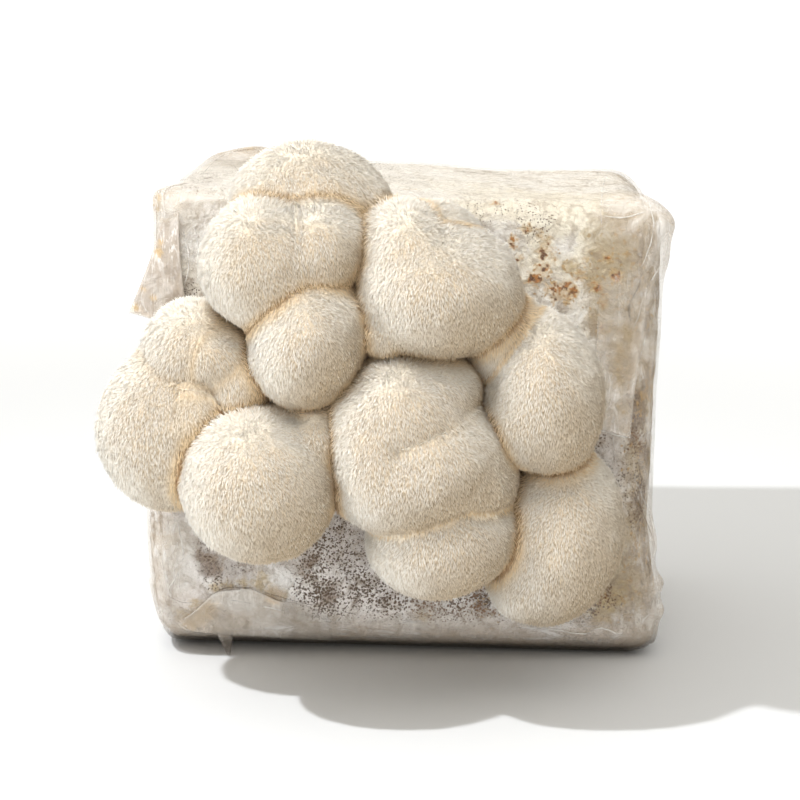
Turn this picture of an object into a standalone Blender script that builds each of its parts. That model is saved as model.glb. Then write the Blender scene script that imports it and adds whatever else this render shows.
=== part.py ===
"""Lion's mane cluster of ten shaggy heads on its upright sawdust grow block, wrapped in clear bag film.

Millimetres are used for every named size and turned into metres by MM. +Z is up, the heads face -Y,
and the origin is the middle of the block's footprint on the surface that it stands on.
"""
import math

import bmesh
import bpy
import numpy as np
from mathutils import Matrix, Vector, noise

MM = 0.001

# The grow block and the bag that is wrapped round it.
BLOCK_HALF_WIDTH = 98.5
BLOCK_HALF_DEPTH = 62.4
BLOCK_HEIGHT_LEFT = 191.0
BLOCK_HEIGHT_RIGHT = 184.0
EDGE_RADIUS = 11.0
FOOT_RADIUS_LEFT = 32.0
FOOT_RADIUS_RIGHT = 8.0
FOOT_STARTS = 0.35
BACK_LEFT_TAPER = 8.0
# How far each side stands in or out at shares of the height: the bag sags out near the foot.
LEFT_SIDE = ((0.0, -6.0), (0.15, -8.0), (0.3, -4.0), (0.8, 1.5), (1.0, 2.0))
RIGHT_SIDE = ((0.0, 3.0), (0.12, 5.0), (0.3, 0.5), (0.6, 2.0), (1.0, 3.0))
LUMP_SIZE = 42.0
LUMP_HEIGHT = 1.5
GAP = 0.3
FILM_THICKNESS = 0.8
FILM_OUTSIDE = GAP + FILM_THICKNESS
FRONT = -(BLOCK_HALF_DEPTH + FILM_OUTSIDE)

# How many cells the rounding and the flat middle of each side are divided into.
ROUND_CELLS = 2
MIDDLE_CELLS = (5, 3, 4)
ROUND_SHARE = 0.25

# The bag's opening at the front, in x and z, hidden behind the heads.
OPENING = (
    (-80, 126), (-64, 168), (-34, 178), (4, 172), (34, 164), (56, 134),
    (66, 104), (70, 64), (52, 36), (18, 50), (-30, 72), (-78, 84),
)
OPENING_MARGIN = 0.4
OPENING_DEPTH = 6.0

# Tufts: each facet of a head is raised to one drooping tuft.
TUFT_LENGTH = 2.2
TUFT_PROUD = 1.2
TUFT_DROOP = 1.6
TUFT_JITTER = 1.1
SEED = 7

# Each head: its lobes as centre (x, y, z), radii (x, y, z), and the turn to the right seen from the front.
# A root is the short hidden neck that joins the head to the block: x, z and radius.
HEADS = {
    "head_top": {
        "lobes": (((-35, -85, 187.5), (32, 29, 25.5), 4),),
        "root": (-34, 171, 15),
    },
    "head_upper_left": {
        "lobes": (
            ((-52.5, -98, 167), (24.5, 33, 25), 0),
            ((-30, -96, 172.5), (17.5, 28, 19.5), 20),
        ),
        "root": (-53, 159, 16),
    },
    "head_middle_left": {
        "lobes": (((-35, -108, 141), (22.5, 34, 26.5), 18),),
        "root": (-24, 136, 18),
    },
    "head_upper_middle": {
        "lobes": (((13.5, -103, 163), (32.5, 38, 31), 0),),
        "root": (15, 152, 22),
    },
    "head_right": {
        "lobes": (
            ((43.5, -90, 137), (17, 26, 18), 20),
            ((55, -93, 119.5), (21.5, 31, 32), -9),
        ),
        "root": (46, 118, 17),
    },
    "head_centre": {
        "lobes": (
            ((1.5, -108, 114), (27, 34, 21.5), -12),
            ((10.5, -111, 94.5), (37, 38, 23.5), -22),
            ((15, -103, 64.5), (31, 36, 25), -12),
        ),
        "root": (10, 94, 24),
    },
    "head_lower_right": {
        "lobes": (((60, -93, 61), (26, 32, 36), 12),),
        "root": (54, 60, 17),
    },
    "head_lower_left": {
        "lobes": (((-53, -107, 85.5), (30.5, 36, 30), 0),),
        "root": (-42, 90, 17),
    },
    "head_left": {
        "lobes": (((-90, -93, 102), (28, 31, 32), -8),),
        "root": (-79, 100, 15),
    },
    "head_left_shoulder": {
        "lobes": (
            ((-80, -88, 136), (18.5, 26, 17.5), 0),
            ((-64.5, -92, 129), (18.5, 26, 16.5), 0),
            ((-68.5, -95, 112), (18.5, 26, 15.5), 0),
        ),
        "root": (-64, 126, 15),
    },
}
ROOT_CENTRE = -76.0
ROOT_HALF_LENGTH = 16.0
NEIGHBOUR_REACH = 6.0

COLOURS = {
    "head": ((0.86, 0.77, 0.62, 1.0), 0.95),
    "block": ((0.70, 0.63, 0.54, 1.0), 0.85),
    "film": ((0.80, 0.76, 0.70, 1.0), 0.25),
}


def clear_scene():
    for item in list(bpy.data.objects):
        bpy.data.objects.remove(item, do_unlink=True)


def make_material(name, look):
    colour, roughness = COLOURS[look]
    material = bpy.data.materials.new(name + "_material")
    material.use_nodes = True
    shader = material.node_tree.nodes["Principled BSDF"]
    shader.inputs["Base Color"].default_value = colour
    shader.inputs["Roughness"].default_value = roughness
    shader.inputs["Metallic"].default_value = 0.0
    return material


def add_object(name, bm, look):
    """Put a finished mesh into the scene as one named piece."""
    bmesh.ops.scale(bm, vec=(MM, MM, MM), verts=bm.verts)
    mesh = bpy.data.meshes.new(name)
    bm.to_mesh(mesh)
    bm.free()
    piece = bpy.data.objects.new(name, mesh)
    piece.data.materials.append(make_material(name, look))
    bpy.context.scene.collection.objects.link(piece)
    return piece


def combine(first, second, operation):
    """Join or cut two closed meshes with an exact Boolean, and return the result as a bmesh."""
    objects = []
    for bm in (first, second):
        mesh = bpy.data.meshes.new("boolean_part")
        bm.to_mesh(mesh)
        bm.free()
        item = bpy.data.objects.new("boolean_part", mesh)
        bpy.context.scene.collection.objects.link(item)
        objects.append(item)
    modifier = objects[0].modifiers.new("join", "BOOLEAN")
    modifier.operation = operation
    modifier.solver = "EXACT"
    modifier.object = objects[1]
    graph = bpy.context.evaluated_depsgraph_get()
    result = bmesh.new()
    result.from_object(objects[0], graph)
    for item in objects:
        bpy.data.objects.remove(item, do_unlink=True)
    return result


# ---- block and film -------------------------------------------------------------------------------


def axis_place(share, half, radius):
    """Place along one axis for a grid share of -1 to 1: the last quarter covers the rounded edge."""
    flat = 1.0 - ROUND_SHARE
    size = abs(share)
    if size <= flat:
        place = (half - radius) * size / flat
    else:
        place = half - radius + radius * (size - flat) / ROUND_SHARE
    return math.copysign(place, share)


def edge_radii(share):
    """The edge radii along x, y and z: the foot of the front is rounder, most of all at the left."""
    low = min(max((-share.z - FOOT_STARTS) / (1.0 - ROUND_SHARE - FOOT_STARTS), 0.0), 1.0)
    if share.y >= 0:
        low = 0.0
    right = 0.5 + 0.5 * min(max(share.x, -1.0), 1.0)
    foot = FOOT_RADIUS_LEFT + (FOOT_RADIUS_RIGHT - FOOT_RADIUS_LEFT) * right
    front = EDGE_RADIUS + (foot - EDGE_RADIUS) * low
    return Vector((EDGE_RADIUS, front, front))


def hull_point(share, offset):
    """A point of the block's rounded box, pushed outward by offset."""
    half = Vector((BLOCK_HALF_WIDTH, BLOCK_HALF_DEPTH, BLOCK_HEIGHT_LEFT / 2))
    radii = edge_radii(share)
    ball = Vector()
    core = Vector()
    for axis in range(3):
        place = axis_place(share[axis], half[axis], radii[axis])
        flat = half[axis] - radii[axis]
        core[axis] = min(max(place, -flat), flat)
        ball[axis] = (place - core[axis]) / radii[axis]
    ball.normalize()
    outward = Vector([ball[axis] / radii[axis] for axis in range(3)]).normalized()
    surface = core + Vector([ball[axis] * radii[axis] for axis in range(3)])
    return warp(surface, outward) + outward * offset


def warp(point, outward):
    """Slope the top, shape the sides and add soft lumps away from the front and the foot."""
    up = point.z / BLOCK_HEIGHT_LEFT + 0.5
    across = point.x / BLOCK_HALF_WIDTH * 0.5 + 0.5
    back = point.y / BLOCK_HALF_DEPTH * 0.5 + 0.5
    top = BLOCK_HEIGHT_LEFT + (BLOCK_HEIGHT_RIGHT - BLOCK_HEIGHT_LEFT) * across
    left = float(np.interp(up, *zip(*LEFT_SIDE))) + BACK_LEFT_TAPER * back
    right = float(np.interp(up, *zip(*RIGHT_SIDE)))
    lump = noise.noise(point / LUMP_SIZE) * LUMP_HEIGHT
    if outward.y < -0.5 or outward.z < -0.5:
        lump = 0.0
    x = point.x + left * (1.0 - across) + right * across
    return Vector((x, point.y, FILM_OUTSIDE + up * (top - FILM_OUTSIDE))) + outward * lump


def grid_shares(middle_cells):
    flat = 1.0 - ROUND_SHARE
    middle = [flat * (2.0 * step / middle_cells - 1.0) for step in range(middle_cells + 1)]
    outer = [flat + ROUND_SHARE * step / ROUND_CELLS for step in range(1, ROUND_CELLS + 1)]
    return [-share for share in reversed(outer)] + middle + outer


def make_hull(offset):
    """The block's rounded box as a closed grid, with its surface pushed outward by offset."""
    bm = bmesh.new()
    bmesh.ops.create_cube(bm, size=2.0)
    for axis in range(3):
        normal = Vector((0, 0, 0))
        normal[axis] = 1.0
        for share in grid_shares(MIDDLE_CELLS[axis])[1:-1]:
            everything = bm.verts[:] + bm.edges[:] + bm.faces[:]
            bmesh.ops.bisect_plane(bm, geom=everything, plane_co=normal * share, plane_no=normal)
    bmesh.ops.triangulate(bm, faces=bm.faces, quad_method="FIXED")
    for vert in bm.verts:
        vert.co = hull_point(vert.co.copy(), offset)
    bmesh.ops.recalc_face_normals(bm, faces=bm.faces)
    return bm


def opening_prism(margin, front):
    """A prism through the bag's opening, its outline drawn in by margin, from inside to y = front."""
    bm = bmesh.new()
    centre = Vector((
        sum(x for x, _ in OPENING) / len(OPENING),
        sum(z for _, z in OPENING) / len(OPENING),
    ))
    verts = []
    for x, z in OPENING:
        inward = (centre - Vector((x, z))).normalized() * margin
        verts.append(bm.verts.new((x + inward.x, -BLOCK_HALF_DEPTH + OPENING_DEPTH, z + inward.y)))
    face = bm.faces.new(verts)
    reach = front + BLOCK_HALF_DEPTH - OPENING_DEPTH
    grown = bmesh.ops.extrude_face_region(bm, geom=[face])
    moved = [item for item in grown["geom"] if isinstance(item, bmesh.types.BMVert)]
    bmesh.ops.translate(bm, verts=moved, vec=(0, reach, 0))
    bmesh.ops.recalc_face_normals(bm, faces=bm.faces)
    return bm


def make_block():
    """The block, with the front that swells through the opening until it is flush with the film."""
    swelling = opening_prism(OPENING_MARGIN, FRONT)
    return add_object("substrate_block", combine(make_hull(0.0), swelling, "UNION"), "block")


# The gusset folds of the bag: an ear that flares out at the upper left, a fuller one at the upper right,
# and the top, which is folded over at the back left and stands up a little there.
LEFT_EAR = {"low": 145.0, "high": 175.0, "top_edge": (-97.5, -62, 164), "low_edge": (-106.5, -64, 136)}
EAR_SPREAD = 0.25
RIGHT_EAR = {"low": 135.0, "from_side": 85.0, "behind": 0.0, "out": 4.0}
TOP_FOLD = {"middle": -64.0, "half_width": 16.0, "back": 35.0, "rise": 5.0}


def grow_left_ear(bm):
    """Pull the strip of the skin along the left front edge out to a thin ear."""
    bm.normal_update()
    strip = []
    for face in bm.faces:
        centre = face.calc_center_median()
        at_edge = face.normal.x < -0.7 and centre.x < -85 and -62 < centre.y < -52
        if at_edge and LEFT_EAR["low"] < centre.z < LEFT_EAR["high"]:
            strip.append(face)
    grown = bmesh.ops.extrude_face_region(bm, geom=strip)
    verts = [item for item in grown["geom"] if isinstance(item, bmesh.types.BMVert)]
    bmesh.ops.delete(bm, geom=strip, context="FACES")
    highest = max(vert.co.z for vert in verts)
    lowest = min(vert.co.z for vert in verts)
    middle = sum(vert.co.y for vert in verts) / len(verts)
    top_edge = Vector(LEFT_EAR["top_edge"])
    low_edge = Vector(LEFT_EAR["low_edge"])
    for vert in verts:
        target = low_edge.lerp(top_edge, (vert.co.z - lowest) / (highest - lowest))
        target.y += (vert.co.y - middle) * EAR_SPREAD
        vert.co = target


def swell_folds(bm):
    """Stand the skin off at the upper right ear and along the fold at the back of the top."""
    for vert in bm.verts:
        place = vert.co.copy()
        at_side = place.x > RIGHT_EAR["from_side"] and place.y < RIGHT_EAR["behind"]
        if at_side and place.z > RIGHT_EAR["low"]:
            vert.co.x += RIGHT_EAR["out"]
        if place.y > TOP_FOLD["back"] and place.z > BLOCK_HEIGHT_RIGHT - EDGE_RADIUS:
            away = (place.x - TOP_FOLD["middle"]) / TOP_FOLD["half_width"]
            vert.co.z += TOP_FOLD["rise"] * math.exp(-away * away)


def make_film():
    """The bag: one closed skin of even thickness round the block, open at the front."""
    outside = make_hull(FILM_OUTSIDE)
    swell_folds(outside)
    grow_left_ear(outside)
    skin = combine(outside, make_hull(GAP), "DIFFERENCE")
    opening = opening_prism(0.0, FRONT - OPENING_DEPTH)
    return add_object("bag_film", combine(skin, opening, "DIFFERENCE"), "film")


# ---- heads ----------------------------------------------------------------------------------------


def turned(tilt):
    return Matrix.Rotation(math.radians(tilt), 3, "Y")


def lobe_reach(lobe, direction):
    """How far a lobe reaches from its centre along a direction."""
    local = turned(lobe["tilt"]).transposed() @ direction
    return 1.0 / math.sqrt(sum((local[axis] / lobe["radii"][axis]) ** 2 for axis in range(3)))


def all_lobes():
    """Every lobe and root of every head, as centre, radii, tilt and level of detail."""
    lobes = []
    for name, head in HEADS.items():
        for centre, radii, tilt in head["lobes"]:
            lobes.append({"head": name, "centre": Vector(centre), "radii": radii, "tilt": tilt, "root": False})
        x, z, radius = head["root"]
        radii = (radius, ROOT_HALF_LENGTH, radius)
        centre = Vector((x, ROOT_CENTRE, z))
        lobes.append({"head": name, "centre": centre, "radii": radii, "tilt": 0, "root": True})
    return lobes


def lobe_mesh(lobe, rng):
    """One lobe: a faceted ball whose facets are raised to drooping tufts, or a plain ball for a root."""
    bm = bmesh.new()
    bmesh.ops.create_icosphere(bm, subdivisions=1 if lobe["root"] else 2, radius=1.0)
    shape = turned(lobe["tilt"]) @ Matrix.Diagonal(lobe["radii"])
    if not lobe["root"]:
        reach = 1.0 + TUFT_PROUD / min(lobe["radii"])
        base = reach - TUFT_LENGTH / min(lobe["radii"])
        poked = bmesh.ops.poke(bm, faces=bm.faces[:])
        tips = set(poked["verts"])
        for vert in bm.verts:
            direction = vert.co.normalized()
            vert.co = direction * (reach if vert in tips else base)
    for vert in bm.verts:
        vert.co = lobe["centre"] + shape @ vert.co
    if not lobe["root"]:
        for vert in sorted(tips, key=lambda item: item.index):
            jitter = Vector(rng.uniform(-1.0, 1.0, 3)) * TUFT_JITTER
            outward = (vert.co - lobe["centre"]).normalized()
            jitter -= outward * jitter.dot(outward)
            vert.co += jitter + Vector((0, 0, -TUFT_DROOP * (1.0 - abs(outward.z))))
    return bm


def cut_at_neighbours(bm, lobe, lobes):
    """Press a lobe flat where another head's lobe leans on it, with half the gap on either side."""
    for other in lobes:
        if other["head"] == lobe["head"]:
            continue
        between = other["centre"] - lobe["centre"]
        distance = between.length
        along = between.normalized()
        own = lobe_reach(lobe, along)
        theirs = lobe_reach(other, along)
        if distance > own + theirs + NEIGHBOUR_REACH:
            continue
        share = (distance ** 2 + own ** 2 - theirs ** 2) / (2.0 * distance)
        place = lobe["centre"] + along * (share - GAP / 2)
        everything = bm.verts[:] + bm.edges[:] + bm.faces[:]
        cut = bmesh.ops.bisect_plane(bm, geom=everything, plane_co=place, plane_no=along, clear_outer=True)
        rim = [item for item in cut["geom_cut"] if isinstance(item, bmesh.types.BMEdge)]
        if rim:
            bmesh.ops.edgeloop_fill(bm, edges=rim)
    return bm


def make_head(name, lobes, rng):
    """One head: its lobes and root, pressed against the neighbours, fused, and cut clear of the bag."""
    own = [cut_at_neighbours(lobe_mesh(lobe, rng), lobe, lobes) for lobe in lobes if lobe["head"] == name]
    body = own[0]
    for part in own[1:]:
        body = combine(body, part, "UNION")
    body = combine(body, make_hull(FILM_OUTSIDE + GAP), "DIFFERENCE")
    return add_object(name, body, "head")


def main():
    clear_scene()
    rng = np.random.default_rng(SEED)
    lobes = all_lobes()
    make_block()
    make_film()
    for name in HEADS:
        make_head(name, lobes, rng)


main()
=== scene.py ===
import math

import bmesh
import bpy
import numpy as np
from mathutils import Matrix, Vector, noise
from mathutils.bvhtree import BVHTree
from mathutils.kdtree import KDTree


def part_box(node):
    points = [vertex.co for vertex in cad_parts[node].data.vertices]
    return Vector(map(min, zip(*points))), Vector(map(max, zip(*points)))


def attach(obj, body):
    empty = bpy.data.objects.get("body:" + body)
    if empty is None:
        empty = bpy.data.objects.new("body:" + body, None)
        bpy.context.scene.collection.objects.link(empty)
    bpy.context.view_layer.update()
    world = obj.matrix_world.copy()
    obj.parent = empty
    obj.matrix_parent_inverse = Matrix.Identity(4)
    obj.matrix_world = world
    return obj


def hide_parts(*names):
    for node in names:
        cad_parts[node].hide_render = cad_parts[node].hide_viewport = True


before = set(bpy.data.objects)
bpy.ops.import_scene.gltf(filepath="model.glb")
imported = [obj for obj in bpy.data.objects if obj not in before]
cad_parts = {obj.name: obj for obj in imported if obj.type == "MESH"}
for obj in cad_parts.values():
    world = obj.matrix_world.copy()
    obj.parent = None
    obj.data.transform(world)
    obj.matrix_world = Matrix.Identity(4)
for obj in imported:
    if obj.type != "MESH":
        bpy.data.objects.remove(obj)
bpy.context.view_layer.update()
mm = 0.001
print("frame loaded:", len(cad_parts), "nodes")

view = {
    "target": (-1.0, -63.5, 107.6),   # mm, what the middle of the picture looks at
    "distance": 850.0,                # mm
    "elevation": 12.5,                # degrees above the horizon
    "lens": 97.1,                     # mm on a 36 mm sensor
}


def inScene(name, data):
    piece = bpy.data.objects.new(name, data)
    bpy.context.scene.collection.objects.link(piece)
    return piece


def addCamera():
    angle = math.radians(view["elevation"])
    target = Vector(view["target"]) * mm
    camera = inScene("camera", bpy.data.cameras.new("camera"))
    camera.location = target + Vector((0, -math.cos(angle), math.sin(angle))) * view["distance"] * mm
    camera.rotation_euler = (math.pi / 2 - angle, 0, 0)
    camera.data.sensor_width = 36
    camera.data.lens = view["lens"]
    camera.data.clip_start = 0.01
    bpy.context.scene.camera = camera


studio = {
    "aim": (0.0, -0.06, 0.08),
    # each lamp: place in metres, size, power and colour; only the small one lights the floor
    "lamps": {
        "floorKey": ((-0.295, -0.167, 0.467), 0.014, 6.0, (1.0, 1.0, 1.0)),
        "left": ((-1.7, -0.8, 0.5), 0.9, 4.25, (0.97, 1.0, 1.04)),
        "front": ((0.15, -1.8, 0.3), 0.9, 3.0, (1.0, 1.0, 1.0)),
        "above": ((-0.45, -0.62, 1.68), 0.9, 8.0, (0.99, 1.0, 1.02)),
    },
    "skyAbove": (0.90, 0.87, 0.81),      # light from overhead and behind
    "skyFront": (0.25, 0.23, 0.195),     # light from low in front
    "skyLean": (-0.15, 0.45, 0.88),      # where it is brightest
    "skyFade": (-0.35, 0.7),             # where it starts and stops getting brighter
    "floorColour": (0.91, 0.94, 0.975),
    "floorSize": 40.0,
    "farGlow": 0.42,                     # keeps the far floor as white as the near floor
}


def addLamp(name, place, size, power, colour):
    # a round lamp that is as bright on the floor as on the heads, like one further off
    lamp = bpy.data.lights.new(name, "AREA")
    lamp.shape = "DISK"
    lamp.size = size
    lamp.energy = power
    lamp.color = colour
    lamp.use_nodes = True
    falloff = lamp.node_tree.nodes.new("ShaderNodeLightFalloff")
    falloff.inputs["Strength"].default_value = 1.0
    emission = lamp.node_tree.nodes["Emission"]
    lamp.node_tree.links.new(falloff.outputs["Constant"], emission.inputs["Strength"])
    holder = inScene(name, lamp)
    holder.location = place
    aim = Vector(studio["aim"]) - holder.location
    holder.rotation_euler = aim.to_track_quat("-Z", "Y").to_euler()
    return holder


def skyLight():
    # a soft sky that is darker low in front, as in a room with its windows behind and above
    nodes = Nodes("studio", bpy.data.worlds, "Background", "Generated")
    inputs = {0: nodes.coords, 1: studio["skyLean"]}
    facing = nodes.add("VectorMath", "Value", inputs, operation="DOT_PRODUCT")
    share = nodes.span(facing, *studio["skyFade"])
    nodes.set("Color", nodes.mix(share, studio["skyFront"], studio["skyAbove"]))
    return nodes.owner


def addStudio():
    scene = bpy.context.scene
    scene.view_settings.view_transform = "Standard"
    scene.world = skyLight()
    bm = bmesh.new()
    bmesh.ops.create_grid(bm, x_segments=1, y_segments=1, size=studio["floorSize"] / 2)
    floor = finishMesh("floor", bm)
    floor.data.materials.append(floorMaterial())
    for name, (place, size, power, colour) in studio["lamps"].items():
        lamp = addLamp(name, place, size, power, colour)
        lit = bpy.data.collections.new("floor lit by " + name)
        lit.objects.link(floor)
        state = "INCLUDE" if name == "floorKey" else "EXCLUDE"
        lit.collection_objects[0].light_linking.link_state = state
        lamp.light_linking.receiver_collection = lit


def finishMesh(name, bm, smooth=False):
    mesh = bpy.data.meshes.new(name)
    bm.to_mesh(mesh)
    bm.free()
    if smooth:
        mesh.shade_smooth()
    return inScene(name, mesh)


def dress(piece, node):
    # the piece moves with the body and stands for a node of the CAD part
    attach(piece, "root")
    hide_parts(node)


class Nodes:
    # short calls for building the node tree of one material, or of the sky
    def __init__(self, name, kind=bpy.data.materials, shader="Principled BSDF", coords="Object"):
        self.owner = kind.new(name)
        self.owner.use_nodes = True
        self.tree = self.owner.node_tree
        self.shader = self.tree.nodes[shader]
        self.coords = self.tree.nodes.new("ShaderNodeTexCoord").outputs[coords]

    def link(self, source, socket):
        if isinstance(source, bpy.types.NodeSocket):
            self.tree.links.new(source, socket)
        elif isinstance(source, (tuple, list)) and len(source) == 3 and socket.type == "RGBA":
            socket.default_value = (*source, 1.0)
        else:
            socket.default_value = source

    def set(self, name, value):
        self.link(value, self.shader.inputs[name])

    def add(self, kind, output, values, **settings):
        # one node with its settings and inputs, and the output that is used
        node = self.tree.nodes.new("ShaderNode" + kind)
        for name, value in settings.items():
            setattr(node, name, value)
        for socket, value in values.items():
            self.link(value, node.inputs[socket])
        return node.outputs[output]

    def attribute(self, name):
        return self.add("Attribute", "Fac", {}, attribute_name=name)

    def stretched(self, scale):
        return self.add("Mapping", "Vector", {"Vector": self.coords, "Scale": scale})

    def noise(self, scale, detail=4.0, rough=0.55, vector=None, warp=0.0, output="Fac"):
        return self.add("TexNoise", output, {
            "Vector": vector or self.coords, "Scale": scale, "Detail": detail,
            "Roughness": rough, "Distortion": warp,
        })

    def stirred(self, scale, amount):
        # the place, moved about by a noise
        stir = self.noise(scale, detail=5.0, rough=0.5, output="Color")
        inputs = {0: stir, 1: (amount,) * 3, 2: self.coords}
        return self.add("VectorMath", "Vector", inputs, operation="MULTIPLY_ADD")

    def cells(self, scale, vector):
        return self.add("TexVoronoi", "Distance", {"Vector": vector, "Scale": scale})

    def math(self, kind, first, second=0.0):
        return self.add("Math", "Value", {0: first, 1: second}, operation=kind)

    def plus(self, first, second):
        return self.math("ADD", first, second)

    def less(self, first, second):
        return self.math("SUBTRACT", first, second)

    def times(self, first, second):
        return self.math("MULTIPLY", first, second)

    def most(self, first, second):
        return self.math("MAXIMUM", first, second)

    def span(self, value, low, high, toLow=0.0, toHigh=1.0):
        # a soft step from one value to another
        return self.add("MapRange", "Result", {
            "Value": value, "From Min": low, "From Max": high, "To Min": toLow, "To Max": toHigh,
        }, interpolation_type="SMOOTHSTEP")

    def mix(self, share, first, second):
        return self.add("Mix", 2, {"Factor": share, 6: first, 7: second}, data_type="RGBA")

    def coats(self, colour, *layers):
        # one colour laid over another: each layer is its share and its colour
        for share, over in layers:
            colour = self.mix(share, colour, over)
        return colour

    def flecks(self, scale, density):
        # small uneven flecks; density 0 leaves none, density 1 covers about half
        grain = self.noise(scale, detail=1.5, rough=0.6, warp=0.3)
        limit = self.less(0.78, self.times(density, 0.28))
        return self.span(self.less(grain, limit), 0.0, 0.02)

    def grains(self, scale, density):
        # small round grains, larger where they are denser
        away = self.cells(scale, self.stirred(700.0, 0.0012))
        return self.span(self.less(self.times(density, 0.5), away), -0.02, 0.04)

    def spread(self, cover, blur, share=1.0):
        # a soft patch with a ragged edge
        ragged = self.plus(cover, self.times(self.less(blur, 0.5), 1.3))
        return self.times(self.span(ragged, 0.2, 0.75), share)

    def veins(self, value, width):
        # thin lines where a noise crosses its middle
        away = self.math("ABSOLUTE", self.less(value, 0.5))
        return self.span(away, width, width * 0.3)

    def height(self):
        return self.add("SeparateXYZ", "Z", {"Vector": self.coords})

    def distance(self, point, vector=None):
        return self.add("VectorMath", "Value", {0: vector or self.coords, 1: point}, operation="DISTANCE")

    def bump(self, height, depth, strength=1.0):
        return self.add("Bump", "Normal", {"Height": height, "Distance": depth, "Strength": strength})


def floorMaterial():
    nodes = Nodes("floor paper")
    grain = nodes.noise(900.0, detail=2.0)
    nodes.set("Base Color", nodes.mix(grain, studio["floorColour"], (0.905, 0.925, 0.955)))
    nodes.set("Roughness", 0.9)
    nodes.set("Specular IOR Level", 0.1)
    nodes.set("Emission Color", (1.0, 1.0, 1.0))
    away = nodes.distance((0.0, -0.1, 0.0))
    nodes.set("Emission Strength", nodes.span(away, 0.45, 1.3, 0.0, studio["farGlow"]))
    return nodes.owner


# each lobe: centre and radii in mm, and its turn to the right seen from the front; root: x, z, radius;
# apart: the lobe that a sharp crease parts from the rest; soft: the neighbour this head runs into;
# blend and press: as in flesh, for this head alone; golden: how strong the golden painted shade in its inner
# valleys is
headShapes = {
    "head_top": {
        "lobes": (((-35, -80, 186.4), (32.2, 24, 25.6), 4),),
        "root": (-34, 171, 15),
    },
    "head_upper_left": {
        "lobes": (
            ((-52.5, -104, 168.3), (24.4, 29, 24.8), 0), ((-30, -102, 173.8), (17.4, 26, 19.3), 20),
        ),
        "root": (-53, 159, 16),
        "blend": 12.0,
    },
    "head_middle_left": {
        "lobes": (((-35, -108, 141), (22.5, 34, 26.5), 18),),
        "root": (-24, 136, 18),
    },
    "head_upper_middle": {
        "lobes": (
            ((13.5, -104, 159), (32, 37, 26), 0), ((1, -98, 176), (17.5, 28, 16.5), 0),
            ((-7.6, -104, 143), (9.5, 20, 9.5), 0), ((13, -91, 180), (18, 23, 10.5), 10),
        ),
        "apart": 3,
        "root": (15, 152, 22),
    },
    "head_right": {
        "lobes": (
            ((53.5, -99, 119.5), (23.5, 34, 32), -11), ((44.5, -101, 108.5), (13, 26, 17), -30),
            ((40, -92, 137), (17.5, 27, 19), 20),
        ),
        "apart": 2,
        "root": (46, 118, 17),
    },
    "head_centre": {
        "lobes": (
            ((-0.5, -108, 115.2), (27.5, 34, 22), -14), ((6, -110, 92.5), (35, 38, 22), -26),
            ((25, -101, 86), (20, 30, 18), -10), ((-11, -110, 100.5), (17, 33, 19), -20),
            ((18.5, -104, 121.5), (9.5, 18, 9.5), 0), ((15, -103, 65), (31, 36, 25), -15),
        ),
        "apart": 5,
        "root": (10, 94, 24),
        "blend": 16.0,
        "press": 6.0,
    },
    "head_lower_right": {
        "lobes": (
            ((60, -93, 61), (26, 32, 36), 12), ((44.8, -92, 41), (12.5, 22, 12.5), 0),
        ),
        "root": (54, 60, 17),
    },
    "head_lower_left": {
        "lobes": (
            ((-53.3, -114, 87), (31, 33, 30.7), 0), ((-31, -103, 106), (14, 27, 15), 0),
        ),
        "root": (-42, 90, 17),
        "press": 3.0,
    },
    "head_left": {
        "lobes": (((-90, -91, 101.6), (28, 28, 32), -8),),
        "root": (-79, 100, 15),
    },
    "head_left_shoulder": {
        "lobes": (
            ((-80, -88, 136), (18.5, 26, 17.5), 0), ((-64.5, -86, 128), (17, 24, 15), 0),
            ((-68.5, -88, 113), (17, 24, 14), 0), ((-69.5, -99, 133.5), (12.5, 19, 12), 0),
            ((-60.6, -93, 123), (14, 25, 14.5), 0), ((-77.5, -97, 110), (12, 22, 13.5), 0),
            ((-76, -91, 121.5), (16, 20, 12.5), 0),
        ),
        "root": (-64, 126, 15),
        "blend": 12.0,
        "golden": 0.55,
        "soft": "head_left",
    },
}

flesh = {
    "rootCentre": -76.0,      # mm, y of the middle of a root
    "rootHalfLength": 16.0,
    "furDepth": 1.7,          # how far the flesh lies under the tips of the spines
    "voxel": 1.4,
    "lumpSize": 13.0,
    "lumpHeight": 0.6,
    "blend": 10.0,            # mm, how softly the lobes of one head run together, unless it says so itself
    "apartBlend": 2.5,        # mm, the same over a sharp crease
    "press": 12.0,            # mm, how far from a neighbour a head swells to meet it
    "softPress": 15.0,        # mm, the same for a neighbour it runs into
    "overTop": 11.0,          # mm, how much further back a head may reach above the block
    "topEdge": (181.0, 192.0),   # mm, the heights between which the block's top edge rounds away
    "seed": 11,
}

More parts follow.
